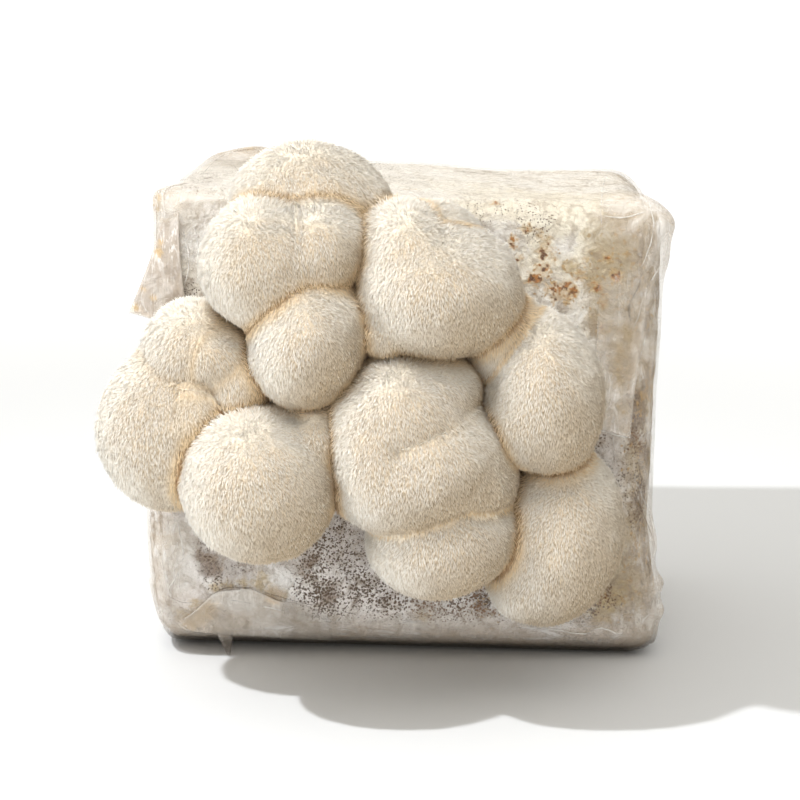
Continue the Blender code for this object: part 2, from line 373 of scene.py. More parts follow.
spines = {
    "perSquareMm": 3.0,
    "backShare": 0.45,        # share of them that is left on the side that faces the block
    "length": 2.5,            # mm
    "thickness": 0.26,
    "softLight": 0.78,        # how far the light on a spine follows the head's skin, not its own sides
    "fullest": 0.58,          # share of the length where a spine is thickest
    "spread": 0.2,            # how much each length differs
    "crown": (-0.15, -0.4, 0.9),   # the spines of a head lie down all round this direction
    "stand": 0.72,            # how far they stand up
    "droop": 0.35,
    "curl": 0.45,
    "stray": 0.17,
    "rimLength": 0.8,         # share of the length left on top, underneath and at the sides
    "creaseReach": 8.0,       # mm over which the painted shade of a crease reaches
    "softCrease": 0.35,       # how dark the painted shade gets beside a neighbour that the head runs into
    "golden": 0.12,           # how strong the golden painted shade in the valleys inside a head is, unless it says so itself
    "sharpReach": 3.0,        # mm, the reach of a sharp crease between two lobes
    "sharpCrease": 0.75,      # and how dark its painted shade gets
    "blockReach": 20.0,       # mm, the reach of the block's own shade
    "roll": 0.3,              # how far the flat side of a spine turns from facing outwards
    "clumpShare": 0.28,       # share of the spines that lead a clump
    "clumpPull": 0.2,         # how far the others lean to its tip
}


def turned(tilt):
    return np.array(Matrix.Rotation(math.radians(tilt), 3, "Y"))


def lobesOf(name):
    # centre, radii and turn of each lobe of a head, the root last
    shape = headShapes[name]
    x, z, radius = shape["root"]
    root = ((x, flesh["rootCentre"], z), (radius, flesh["rootHalfLength"], radius), 0)
    return [*shape["lobes"], root]


def depthOutside(points, lobe, grow=0.0):
    # roughly how far each point lies outside a lobe, in mm; below zero inside it
    centre, radii, tilt = lobe
    away = points - np.array(centre)
    local = (away @ turned(tilt)) / (np.array(radii) + grow)
    size = np.linalg.norm(local, axis=1)
    return np.linalg.norm(away, axis=1) * (1.0 - 1.0 / np.maximum(size, 1e-6))


def makeFlesh(name):
    # the lobes and root of one head, run together into one skin
    bm = bmesh.new()
    for centre, radii, tilt in lobesOf(name):
        made = bmesh.ops.create_icosphere(bm, subdivisions=4, radius=1.0)
        size = [radius - flesh["furDepth"] for radius in radii]
        shape = Matrix.Translation(centre) @ Matrix.Rotation(math.radians(tilt), 4, "Y")
        bmesh.ops.transform(bm, matrix=shape @ Matrix.Diagonal((*size, 1.0)), verts=made["verts"])
    piece = finishMesh(name + "_flesh", bm)
    remesh = piece.modifiers.new("skin", "REMESH")
    remesh.mode = "VOXEL"
    remesh.voxel_size = flesh["voxel"]
    bm = bmesh.new()
    bm.from_object(piece, bpy.context.evaluated_depsgraph_get())
    bpy.data.objects.remove(piece, do_unlink=True)
    fillCreases(bm, name)
    for vert in bm.verts:
        lump = noise.fractal(vert.co / flesh["lumpSize"], 0.6, 2.0, 3)
        vert.co += vert.normal * lump * flesh["lumpHeight"]
    for vert, back in zip(bm.verts, backLimit(np.array([vert.co.z for vert in bm.verts]))):
        vert.co.y = min(vert.co.y, back - 0.2)
    return bm


def backLimit(heights):
    # how far back the heads may reach: the block's front, and further above its rounded top edge
    return blockFront + flesh["overTop"] * smoothShare(heights, *flesh["topEdge"])


def lobeDepths(points, name):
    # the two nearest of the lobes that run together, and the lobe that stands apart, if there is one
    depths = [depthOutside(points, lobe, -flesh["furDepth"]) for lobe in lobesOf(name)]
    apart = headShapes[name].get("apart")
    alone = depths.pop(apart) if apart is not None else None
    return np.sort(depths, axis=0), alone


def softPair(name, other):
    return other == headShapes[name].get("soft") or name == headShapes[other].get("soft")


def fillCreases(bm, name):
    # raise the skin where two lobes of one head meet, so that they run together
    points = np.array([vert.co for vert in bm.verts])
    together, apart = lobeDepths(points, name)
    raised = filled(np.abs(together[1] - together[0]), headShapes[name].get("blend", flesh["blend"]))
    if apart is not None:
        raised = np.where(apart < together[0], 0.0, raised)
        raised += filled(np.abs(apart - together[0]), flesh["apartBlend"])
    swell = np.zeros(len(points))
    for other in headShapes:
        if other != name:
            press = headShapes[name].get("press", flesh["press"])
            if softPair(name, other):
                press = flesh["softPress"]
            depths = [depthOutside(points, lobe, -flesh["furDepth"]) for lobe in lobesOf(other)]
            swell = np.maximum(swell, filled(np.min(np.abs(depths), axis=0), press))
    raised += swell
    relax(bm, 1)
    for vert, height in zip(bm.verts, raised):
        vert.co += vert.normal * height
    relax(bm, 3)


def filled(gap, reach):
    # how high a valley is filled up where two surfaces are this far apart
    return np.maximum(reach - gap, 0.0) ** 2 / (4 * reach)


def relax(bm, times):
    for _ in range(times):
        bmesh.ops.smooth_vert(
            bm, verts=bm.verts, factor=0.5, use_axis_x=True, use_axis_y=True, use_axis_z=True)
    bm.normal_update()


def hiddenInside(points, name, margin):
    # points that lie inside another head
    hidden = np.zeros(len(points), bool)
    for other in headShapes:
        if other != name:
            for lobe in lobesOf(other):
                hidden |= depthOutside(points, lobe, -flesh["furDepth"]) < -margin
    return hidden


def closeness(distance, reach):
    # 1 where the distance is nothing, falling to 0 at the reach
    return (1.0 - np.clip(distance / reach, 0.0, 1.0)) ** 2


def creaseShare(points, name):
    # how much painted shade each point gets: 1 in the deep creases between heads and lobes and beside the
    # block, 0 on the open swells
    reach = spines["creaseReach"]
    shown = np.ones(len(points))
    for other in headShapes:
        if other != name:
            nearest = np.min([depthOutside(points, lobe) for lobe in lobesOf(other)], axis=0)
            paintedShadow = spines["softCrease"] if softPair(name, other) else 1.0
            shown *= 1.0 - paintedShadow * closeness(nearest, reach)
    together, apart = lobeDepths(points, name)
    golden = headShapes[name].get("golden", spines["golden"])
    shown *= 1.0 - golden * closeness(together[1] - together[0] + 1.0, reach)
    if apart is not None:
        shown *= 1.0 - spines["sharpCrease"] * closeness(np.abs(apart - together[0]), spines["sharpReach"])
    return 1.0 - shown * (1.0 - closeness(backLimit(points[:, 2]) - points[:, 1], spines["blockReach"]))


def makeSpine():
    # one slim spine of four faces along +Z, from 0 to 1: pointed at both ends, as points and triangles
    bm = bmesh.new()
    bmesh.ops.create_cone(bm, segments=3, radius1=1.0, radius2=0.0, depth=1.0, cap_ends=True)
    base = sorted((vert for vert in bm.verts if vert.co.z < 0.0), key=lambda vert: vert.co.x)
    top = max(bm.verts, key=lambda vert: vert.co.z)
    top.co = (0, 0, 1)
    base[0].co = (-1.0, 0.4, spines["fullest"])
    base[1].co = (0, 0, 0)
    base[2].co = (1.0, 0.4, spines["fullest"])
    bmesh.ops.recalc_face_normals(bm, faces=bm.faces)
    bm.verts.index_update()
    points = np.array([vert.co for vert in bm.verts])
    faces = np.array([[vert.index for vert in face.verts] for face in bm.faces])
    bm.free()
    return points, faces


def samplePoints(bm, perSquareMm, rng):
    # even random points on the skin, with their normals
    bm.normal_update()
    bmesh.ops.triangulate(bm, faces=bm.faces)
    corners = np.array([[vert.co for vert in face.verts] for face in bm.faces])
    normals = np.array([[vert.normal for vert in face.verts] for face in bm.faces])
    cross = np.cross(corners[:, 1] - corners[:, 0], corners[:, 2] - corners[:, 0])
    area = np.linalg.norm(cross, axis=1) / 2
    count = int(area.sum() * perSquareMm)
    steps = (np.arange(count) + rng.random(count)) / count * area.sum()
    chosen = np.searchsorted(np.cumsum(area), steps).clip(0, len(area) - 1)
    u, v = rng.random((2, count))
    over = u + v > 1
    u[over], v[over] = 1 - u[over], 1 - v[over]
    share = np.stack([1 - u - v, u, v], axis=1)[:, :, None]
    points = (corners[chosen] * share).sum(axis=1)
    normal = (normals[chosen] * share).sum(axis=1)
    return points, normal / np.linalg.norm(normal, axis=1, keepdims=True)


def unit(vectors):
    return vectors / np.maximum(np.linalg.norm(vectors, axis=1, keepdims=True), 1e-9)


def rimShare(normals, low, high):
    # 0 where a head faces the front, 1 on its top, underneath and at its sides
    return 1.0 - smoothShare(normals @ np.array((0.05, -0.985, 0.1)), low, high)


def growSpines(name, bm, rng):
    # one head's spines, joined from copies of one spine
    points, normals = samplePoints(bm, spines["perSquareMm"], rng)
    free = ~hiddenInside(points, name, 0.5) & (points[:, 1] < backLimit(points[:, 2]) - 0.6)
    thinned = (1.0 - spines["backShare"]) * smoothShare(normals[:, 1], 0.1, 0.6)
    free &= rng.random(len(points)) < 1.0 - thinned
    points, normals = points[free], normals[free]
    crease = creaseShare(points, name)
    count = len(points)

    down = np.array([0.0, 0.0, -1.0])
    slope = down - normals * (normals @ down)[:, None]
    stray = rng.normal(size=(count, 3))
    swirl = np.array([noise.noise_vector(Vector(point) / 16.0) for point in points])
    crown = unit(np.array([spines["crown"]]))
    away = normals * (normals @ crown.T) - crown
    flow = away / np.maximum(np.linalg.norm(away, axis=1, keepdims=True), 0.65)
    lie = flow + slope * spines["droop"] + (stray + swirl * 1.5) * spines["stray"]
    start = unit(normals * spines["stand"] + lie)
    end = unit(start + slope * spines["curl"] + down * 0.12 + stray * spines["stray"] * 0.5)
    size = spines["length"] * (1.0 - (1.0 - spines["rimLength"]) * rimShare(normals, 0.25, 0.85))
    size *= 1.0 + spines["spread"] * rng.normal(size=count).clip(-2, 2)
    tips = points + (start + end) * size[:, None] / 2
    size *= np.where(hiddenInside(tips, name, -0.6), 0.6, 1.0)

    leaders = np.where(rng.random(count) < spines["clumpShare"])[0]
    tree = KDTree(len(leaders))
    for index, leader in enumerate(leaders):
        tree.insert(points[leader], index)
    tree.balance()
    follows = leaders[np.array([tree.find(point)[1] for point in points])]
    reach = points + (start + end) * size[:, None] / 2
    pulled = reach + (reach[follows] - reach) * spines["clumpPull"] - points
    end = unit(end + unit(pulled) * 1.5)
    start = unit(start + unit(pulled) * 0.6)

    tone = rng.random(count)
    side = unit(np.cross(unit(normals + rng.normal(size=(count, 3)) * spines["roll"]), start))
    other = np.cross(start, side)
    width = spines["thickness"] * (1.0 + 0.2 * rng.normal(size=count).clip(-2, 2)) / 2
    shape, faces = makeSpine()
    along = shape[:, 2]
    lift = (along - along ** 2 / 2)[None, :, None]
    bend = (along ** 2 / 2)[None, :, None]
    path = size[:, None, None] * (start[:, None, :] * lift + end[:, None, :] * bend) * 1.3
    path = path + points[:, None, :]
    around = side[:, None, :] * shape[None, :, 0, None] + other[:, None, :] * shape[None, :, 1, None]
    verts = path + around * width[:, None, None] - normals[:, None, :] * 0.3
    verts = verts.reshape(-1, 3) * mm
    triangles = faces[None] + (np.arange(count) * len(shape))[:, None, None]
    # painted light: lighter on the top, underneath and at the sides, except in the creases
    paintedRimLight = rimShare(normals, 0.5, 0.97) * (1.0 - crease)
    # painted shade: how far a spine faces low and to the right, away from the lamps
    paintedShade = smoothShare(normals @ np.array((0.7, -0.1, -0.7)), -0.1, 0.85)
    shares = {"tip": np.tile(along, count)}
    for label, values in (("tone", tone), ("crease", crease), ("paintedRimLight", paintedRimLight), ("paintedShade", paintedShade)):
        shares[label] = np.repeat(values, len(shape))
    return verts, triangles.reshape(-1, 3), shares, np.repeat(normals, len(shape), axis=0)


def meshFromArrays(name, verts, triangles, shares, outward):
    # one mesh from the joined copies, with its shares kept on the points and its light softened
    mesh = bpy.data.meshes.new(name)
    mesh.vertices.add(len(verts))
    mesh.vertices.foreach_set("co", verts.astype(np.float32).ravel())
    mesh.loops.add(len(triangles) * 3)
    mesh.loops.foreach_set("vertex_index", triangles.astype(np.int32).ravel())
    mesh.polygons.add(len(triangles))
    mesh.polygons.foreach_set("loop_start", np.arange(0, len(triangles) * 3, 3, dtype=np.int32))
    mesh.update(calc_edges=True)
    mesh.shade_smooth()
    own = np.empty(len(verts) * 3, np.float32)
    mesh.vertex_normals.foreach_get("vector", own)
    soft = own.reshape(-1, 3) * (1.0 - spines["softLight"]) + outward * spines["softLight"]
    mesh.normals_split_custom_set_from_vertices(unit(soft))
    piece = inScene(name, mesh)
    for label, values in shares.items():
        setAttribute(piece, label, values)
    return piece


def furMaterial():
    nodes = Nodes("mushroom spines")
    tip = nodes.attribute("tip")
    tone = nodes.attribute("tone")
    crease = nodes.attribute("crease")
    paintedRimLight = nodes.attribute("paintedRimLight")
    patch = nodes.span(nodes.noise(30.0, detail=3.0), 0.4, 0.7, 0.0, 0.25)
    along = nodes.span(tip, 0.2, 0.92)
    # the tips, lighter where the painted rim light falls
    cream = nodes.coats(
        (0.925, 0.875, 0.775), (tone, (0.965, 0.925, 0.845)),
        (patch, (0.92, 0.84, 0.69)), (paintedRimLight, (0.955, 0.92, 0.84)),
    )
    # painted shade between the spines: dark roots, lighter under the painted rim light
    root = nodes.mix(paintedRimLight, (0.44, 0.32, 0.195), (0.80, 0.70, 0.56))
    # the colour of the painted shade, darker towards the root
    shaded = nodes.mix(along, (0.28, 0.185, 0.10), (0.72, 0.59, 0.42))
    clumpShade = nodes.times(nodes.span(tone, 0.10, 0.02), nodes.span(paintedRimLight, 0.6, 0.1, 0.2, 0.7))
    nodes.set("Base Color", nodes.coats(
        nodes.mix(along, root, cream),
        (nodes.attribute("paintedShade"), shaded),    # painted shade: darker and warmer low at the right, away from the light
        # painted shade in the creases and beside the block: golden, then dark brown in the deepest
        (nodes.span(crease, 0.0, 0.7, 0.0, 0.8), (0.86, 0.64, 0.37)),
        (nodes.span(crease, 0.8, 1.0, 0.0, 0.8), (0.44, 0.27, 0.14)),
        (clumpShade, (0.64, 0.52, 0.37)),    # painted shade: a few darker spines between the clumps
    ))
    nodes.set("Roughness", 0.8)
    nodes.set("Specular IOR Level", 0.06)
    nodes.set("Sheen Weight", 0.06)
    nodes.set("Sheen Roughness", 0.5)
    return nodes.owner


def fleshMaterial():
    nodes = Nodes("mushroom flesh")
    grain = nodes.noise(700.0, detail=3.0)
    crease = nodes.attribute("crease")
    colour = nodes.mix(grain, (0.72, 0.58, 0.41), (0.84, 0.71, 0.53))
    # painted light: the flesh lighter on the top, underneath and at the sides
    colour = nodes.mix(nodes.attribute("paintedRimLight"), colour, (0.91, 0.84, 0.71))
    # painted shade: the flesh dark brown in the creases
    nodes.set("Base Color", nodes.mix(nodes.span(crease, 0.3, 1.0), colour, (0.34, 0.20, 0.10)))
    nodes.set("Roughness", 0.85)
    nodes.set("Normal", nodes.bump(grain, 0.0006))
    return nodes.owner


def makeHeads():
    rng = np.random.default_rng(flesh["seed"])
    fur = furMaterial()
    skin = fleshMaterial()
    total = 0
    for name in headShapes:
        bm = makeFlesh(name)
        hair = meshFromArrays(name + "_spines", *growSpines(name, bm, rng))
        hair.data.materials.append(fur)
        points = np.array([vert.co for vert in bm.verts])
        crease = creaseShare(points, name)
        # painted light: lighter on the top, underneath and at the sides, except in the creases
        paintedRimLight = rimShare(np.array([vert.normal for vert in bm.verts]), 0.5, 0.97) * (1.0 - crease)
        bmesh.ops.scale(bm, vec=(mm, mm, mm), verts=bm.verts)
        body = finishMesh(name + "_flesh", bm, smooth=True)
        setAttribute(body, "crease", crease)
        setAttribute(body, "paintedRimLight", paintedRimLight)
        body.data.materials.append(skin)
        for piece in (body, hair):
            dress(piece, name)
        total += len(hair.data.polygons)
        print(name, len(body.data.polygons), "flesh faces,", len(hair.data.polygons), "spine faces")
    print("spine faces in all:", total)


# the block's rounded shape, in mm, with the same values as its CAD solid
block = {
    "halfSizes": (98.5, 62.4, 95.5),
    "heightLeft": 191.0,
    "heightRight": 184.0,
    "edgeRadius": 11.0,
    "footRadius": (32.0, 8.0),          # rounding under the front, at the left and at the right
    "footStarts": 0.35,
    "backLeftTaper": 8.0,
    "leftSide": ((0.0, -6.0), (0.15, -8.0), (0.3, -4.0), (0.8, 1.5), (1.0, 2.0)),
    "rightSide": ((0.0, 3.0), (0.12, 5.0), (0.3, 0.5), (0.6, 2.0), (1.0, 3.0)),
    "roundShare": 0.25,
    "lumpSize": 42.0,
    "lumpHeight": 1.5,
    "frontY": -63.0,
    "filmOutside": 1.1,
    "cells": (70, 40, 68),              # grid cells along x, y and z, twice as fine at the front
    "opening": (
        (-80, 126), (-64, 168), (-34, 178), (4, 172), (34, 164), (56, 134),
        (66, 104), (70, 64), (52, 36), (18, 50), (-30, 72), (-78, 84),
    ),
    "plateauEdge": 3.0,
    "knobbly": 0.35,                    # mm, height of the small lumps of the mycelium
    "rubbedZone": (88.0, 95.0),         # mm from the middle, where the sides' smears begin
    "footZone": (7.0, 17.0),            # mm, heights between which the foot is brown, partly its own stain and partly painted shade
}

# soft patches of the mycelium skin: x, y, z and radius in mm, and strength; without y it lies on the front
patches = {
    "specks": (
        (39, -60, 184, 6, 0.75), (76, 92, 7, 0.9), (91, 108, 4, 0.9), (92, 100, 4, 0.9),
        (92.5, 93, 4.5, 0.9), (90, 116, 3, 0.6), (-79, 42, 6, 0.7), (-76.5, 34, 6, 0.8), (-81, 50, 6, 0.55),
        (-88, 59, 5, 0.5), (-37, 42, 8, 0.8), (-33, 29, 9, 1.0), (-29, 21, 8, 0.9), (-41, 29, 7, 0.9),
        (-33, 50, 7, 0.8), (-23, 56, 6, 0.8), (-21, 42, 9, 0.8), (-14, 30, 9, 0.9), (-5, 24, 9, 0.9),
        (7, 25, 9, 0.85), (19, 23, 8, 0.85), (31, 25, 9, 1.0), (43, 23, 7, 0.9), (63, 14, 7, 0.5),
        (79, 30, 5, 0.9), (82, 25, 5, 0.8), (75, 20, 5, 0.85), (95, -61, 58, 7, 0.9), (97, -60, 74, 8, 0.9),
        (97, -60, 88, 7, 0.9), (72, 162, 5, 0.4), (-83, 165, 7, 0.35), (90, -62, 18, 8, 0.5),
        (-64, 29, 5, 0.5), (-92, -60, 22, 6, 0.5), (68, 150, 8, 0.35),
    ),
    "rusty": (
        (36, 24, 12, 1.0), (10, 20, 10, 0.6), (80, 25, 10, 0.8), (92, 90, 8, 0.8), (60, 155, 16, 0.8),
        (-86, -60, 16, 8, 0.5), (98, -58, 55, 10, 0.6),
    ),
    "cream": (
        (50, -62, 182, 24, 0.9), (30, -40, 188, 36, 0.6), (72, -62, 176, 16, 0.5), (62, 186, 16, 0.8),
        (-10, -20, 190, 40, 0.5), (80, -50, 186, 24, 0.7),
    ),
    "tan": (
        (86, 165, 14, 0.9), (90, 150, 13, 0.9), (93, -62, 130, 13, 0.8), (80, 141, 8, 0.6),
        (97, -60, 110, 12, 1.0), (97, -60, 80, 12, 1.0), (92, -62, 30, 15, 0.9), (97, -60, 52, 12, 1.0),
        (76, 18, 10, 0.5), (82, -62, 178, 8, 0.5), (76, 158, 7, 0.4), (84, 118, 9, 0.7), (86, 100, 9, 0.7),
    ),
    "grey": (
        (-82, 56, 12, 0.9), (-68, 38, 13, 0.8), (-24, 52, 14, 0.9), (-42, 44, 10, 0.8), (-87, 156, 5, 0.4),
        (-84, 147, 6, 0.5), (52, 160, 10, 0.3), (60, 147, 9, 0.5), (78, 92, 10, 0.9), (72, 84, 8, 0.8),
        (84, 78, 8, 0.6), (-10, 34, 14, 0.5),
    ),
    # white mycelium; the patches at the left edge, high and low, also stand for the film's glare there, a
    # painted highlight
    "white": (
        (-78, 180, 9, 1.0), (-84, 170, 8, 0.8), (-91, 42, 7, 1.0), (-90, 53, 6, 1.0), (-91, 33, 6, 0.9),
        (-50, 31, 7, 1.0), (38, 173, 8, 0.8), (-55, -60, 186, 12, 0.8), (7, -47, 189, 16, 0.8),
        (63, 168, 6, 0.8), (-76, 166, 6, 0.8), (44, 166, 6, 0.5),
    ),
    "brown": (
        (-80, 42, 4, 0.8), (-78, 37, 4, 0.9), (-36, 40, 5, 0.7), (-30, 27, 5, 0.7), (33, 24, 4, 0.8),
        (30, 30, 3, 0.6), (70, 20, 4, 0.9), (92, 108, 4, 0.9), (93, 99, 4.5, 1.0), (91, 92, 3, 0.8),
        (80, 30, 4, 0.7), (79, 35, 3, 0.7), (96, -61, 66, 5, 0.9), (97, -60, 84, 5, 0.9),
        (98, -58, 118, 5, 0.9), (75, 15, 4, 0.5), (-19, 24, 4, 0.5), (88, -62, 14, 5, 0.6),
        (-40, 52, 4, 0.6), (97, -60, 40, 5, 0.6),
    ),
    "ochre": (
        (65.4, 161, 3.2, 0.9), (88, 133, 4, 1.0), (87, 129, 3, 0.9), (84.5, 124, 3, 0.7),
        (84.5, 117, 4, 0.7), (82, 137, 4, 0.6), (-56.5, 34.5, 3.5, 0.7), (84, 24, 5, 0.8), (91, 30, 4, 0.7),
        (79, 18, 5, 0.8), (-73, -59, 189, 5, 0.6), (71, 173, 4, 0.5), (8, 18, 4, 0.6), (3, -36, 189, 5, 0.7),
        (66, 150, 6, 0.5), (-86, -59, 15, 6, 0.8), (88, -40, 184, 7, 0.8), (58, -62, 181, 7, 0.3),
        (40, 170, 4, 0.4), (86, 147, 4, 0.5), (-76, 30, 2.4, 0.9), (-70, 31.3, 2.4, 0.9),
        (-64, 31.8, 2.4, 0.9), (-58, 30.8, 2.4, 0.9), (-53, 28.5, 2.6, 1.0), (-48, 26.8, 2.4, 0.9),
        (-83, -62, 23, 3, 0.7), (-92, -60, 18, 3, 0.8),
    ),
}

# how strongly each list of patches covers the skin, and its colour; the others make grains
patchTints = {
    "cream": (0.8, (0.93, 0.87, 0.72)),
    "tan": (0.85, (0.43, 0.33, 0.19)),
    "grey": (0.75, (0.50, 0.45, 0.415)),
    "white": (0.9, (0.90, 0.88, 0.85)),
    "brown": (0.8, (0.18, 0.11, 0.065)),
    "ochre": (0.7, (0.52, 0.38, 0.17)),
}

# single rusty spots: as above, without a strength
rustSpots = (
    (47.8, 175.8, 1.5), (53.2, 173.1, 0.9), (56.2, 170.3, 1.2), (43.2, 171.2, 1.1), (42.8, 169.0, 0.9),
    (54.1, 166.0, 1.5), (45.2, 163.3, 0.8), (54.6, 159.4, 1.7), (51.5, 155.8, 2.1), (58.8, 163.3, 0.6),
    (58.3, 166.2, 0.6), (69.2, 156.8, 1.2), (79.8, 163.7, 1.0), (83.4, 156.6, 1.8), (58.0, 151.8, 1.6),
    (59.8, 148.0, 1.3), (65.8, 150.6, 1.6), (64.4, 148.1, 1.4), (75.7, 152.3, 0.7), (78.6, 145.6, 0.7),
    (77.2, 135.2, 0.8), (90.4, 175.7, 0.9), (1.2, -37, 189.2, 0.8), (3.4, -36, 189.2, 0.6),
    (5.8, -35.5, 189.2, 0.8), (36.4, -57, 186.6, 1.0), (71.5, 163.0, 0.8), (79.8, 163.4, 0.8),
    (69.0, 157.5, 1.0), (74.5, 154.0, 0.8), (76.5, 151.5, 0.9), (78.8, 149.8, 0.7), (63.5, 153.0, 1.3),
    (61.5, 151.0, 1.5),
)


def smoothShare(value, low, high):
    share = np.clip((value - low) / (high - low), 0.0, 1.0)
    return share * share * (3.0 - 2.0 * share)


def noiseAt(points, scale):
    # smooth noise from -1 to 1 at each point, with its own scale along x, y and z
    return np.array([noise.noise(Vector(point)) for point in points / np.array(scale)])


def hullPoints(shares, offset):
    # the rounded box at grid shares of -1 to 1, and which way its surface faces
    half = np.array(block["halfSizes"])
    edge = block["edgeRadius"]
    flatShare = 1.0 - block["roundShare"]
    low = np.clip((-shares[:, 2] - block["footStarts"]) / (flatShare - block["footStarts"]), 0.0, 1.0)
    low *= np.clip(0.5 - shares[:, 1] * 2.0, 0.0, 1.0)
    right = 0.5 + 0.5 * np.clip(shares[:, 0], -1.0, 1.0)
    foot = block["footRadius"][0] + (block["footRadius"][1] - block["footRadius"][0]) * right
    front = edge + (foot - edge) * low
    radii = np.stack([np.full(len(shares), edge), front, front], axis=1)
    amount = np.abs(shares)
    flat = (half - radii) * amount / flatShare
    curved = half - radii + radii * (amount - flatShare) / block["roundShare"]
    place = np.sign(shares) * np.where(amount <= flatShare, flat, curved)
    core = np.clip(place, -(half - radii), half - radii)
    ball = unit((place - core) / radii)
    outward = unit(ball / radii)
    surface = core + ball * radii
    up = surface[:, 2] / (2 * half[2]) + 0.5
    across = surface[:, 0] / half[0] * 0.5 + 0.5
    back = surface[:, 1] / half[1] * 0.5 + 0.5
    top = block["heightLeft"] + (block["heightRight"] - block["heightLeft"]) * across
    leftSide = np.interp(up, *zip(*block["leftSide"])) + block["backLeftTaper"] * back
    rightSide = np.interp(up, *zip(*block["rightSide"]))
    lump = noiseAt(surface, (block["lumpSize"],) * 3) * block["lumpHeight"]
    lump[(outward[:, 1] < -0.5) | (outward[:, 2] < -0.5)] = 0.0
    points = surface.copy()
    points[:, 0] += leftSide * (1.0 - across) + rightSide * across
    points[:, 2] = block["filmOutside"] + up * (top - block["filmOutside"])
    return points + outward * (lump + offset)[:, None], outward


def lineDistance(points, line):
    # distance from each point to a line of straight pieces
    nearest = np.full(len(points), 1e9)
    line = np.array(line, float)
    for start, end in zip(line[:-1], line[1:]):
        along = np.clip((points - start) @ (end - start) / ((end - start) @ (end - start)), 0.0, 1.0)
        away = np.linalg.norm(points - start - along[:, None] * (end - start), axis=1)
        nearest = np.minimum(nearest, away)
    return nearest


def openingDepth(points):
    # how far each point lies inside the bag's opening, seen from the front; below zero outside it
    spots = points[:, (0, 2)]
    outline = np.array([*block["opening"], block["opening"][0]], float)
    inside = np.zeros(len(spots), bool)
    for start, end in zip(outline[:-1], outline[1:]):
        crosses = (start[1] > spots[:, 1]) != (end[1] > spots[:, 1])
        slope = (end[0] - start[0]) * (spots[:, 1] - start[1]) / (end[1] - start[1] + 1e-9) + start[0]
        inside ^= crosses & (spots[:, 0] < slope)
    nearest = lineDistance(spots, outline)
    return np.where(inside, nearest, -nearest)


def makeShell(offset):
    # the block's skin as a closed grid, finer at the front, with its points and outward directions
    bm = bmesh.new()
    bmesh.ops.create_cube(bm, size=2.0)
    for axis, cells in enumerate(block["cells"]):
        normal = Vector((0, 0, 0))
        normal[axis] = 1.0
        for step in range(1, cells):
            everything = bm.verts[:] + bm.edges[:] + bm.faces[:]
            place = normal * (2.0 * step / cells - 1.0)
            bmesh.ops.bisect_plane(bm, geom=everything, plane_co=place, plane_no=normal)
    front = [face for face in bm.faces if face.calc_center_median().y < block["roundShare"] - 1.0]
    edges = list({edge for face in front for edge in face.edges})
    bmesh.ops.subdivide_edges(bm, edges=edges, cuts=1, use_grid_fill=True)
    bmesh.ops.triangulate(bm, faces=[face for face in bm.faces if len(face.verts) > 4])
    shares = np.array([vert.co for vert in bm.verts])
    points, outward = hullPoints(shares, offset)
    return bm, points, outward


def placeVerts(bm, points):
    for vert, point in zip(bm.verts, points):
        vert.co = point * mm


def setAttribute(piece, name, values):
    # one number for each point
    layer = piece.data.attributes.new(name, "FLOAT", "POINT")
    layer.data.foreach_set("value", np.asarray(values, np.float32))


def onFront(spots, full):
    # the same spots, with the front's y in those that are one number short
    return [spot if len(spot) == full else (spot[0], block["frontY"], *spot[1:]) for spot in spots]


def patchShare(points, spots):
    # how strongly a list of soft patches covers each point
    cover = np.zeros(len(points))
    for x, y, z, radius, strength in onFront(spots, 5):
        away = np.linalg.norm(points - np.array((x, y, z)), axis=1) / radius
        cover = 1.0 - (1.0 - cover) * (1.0 - strength * np.exp(-away ** 2 * 0.8))
    return cover


def makeBlock():
    bm, points, outward = makeShell(0.0)
    front = (outward[:, 1] < -0.5) & (points[:, 1] < -55.0)
    plateau = smoothShare(openingDepth(points), 0.0, block["plateauEdge"]) * front
    points[:, 1] -= plateau * block["filmOutside"]
    rough = noiseAt(points, (5.0, 5.0, 5.0)) + 0.5 * noiseAt(points, (2.5, 2.5, 2.5))
    points += outward * (rough * block["knobbly"] - block["knobbly"])[:, None]
    placeVerts(bm, points)
    piece = finishMesh("mycelium_block", bm, smooth=True)
    for name, spots in patches.items():
        setAttribute(piece, name, patchShare(points, spots))
    setAttribute(piece, "sides", smoothShare(np.abs(points[:, 0]), *block["rubbedZone"]))
    setAttribute(piece, "foot", 1.0 - smoothShare(points[:, 2], *block["footZone"]))
    piece.data.materials.append(blockMaterial())
    dress(piece, "substrate_block")
    print("block:", len(piece.data.polygons), "faces")


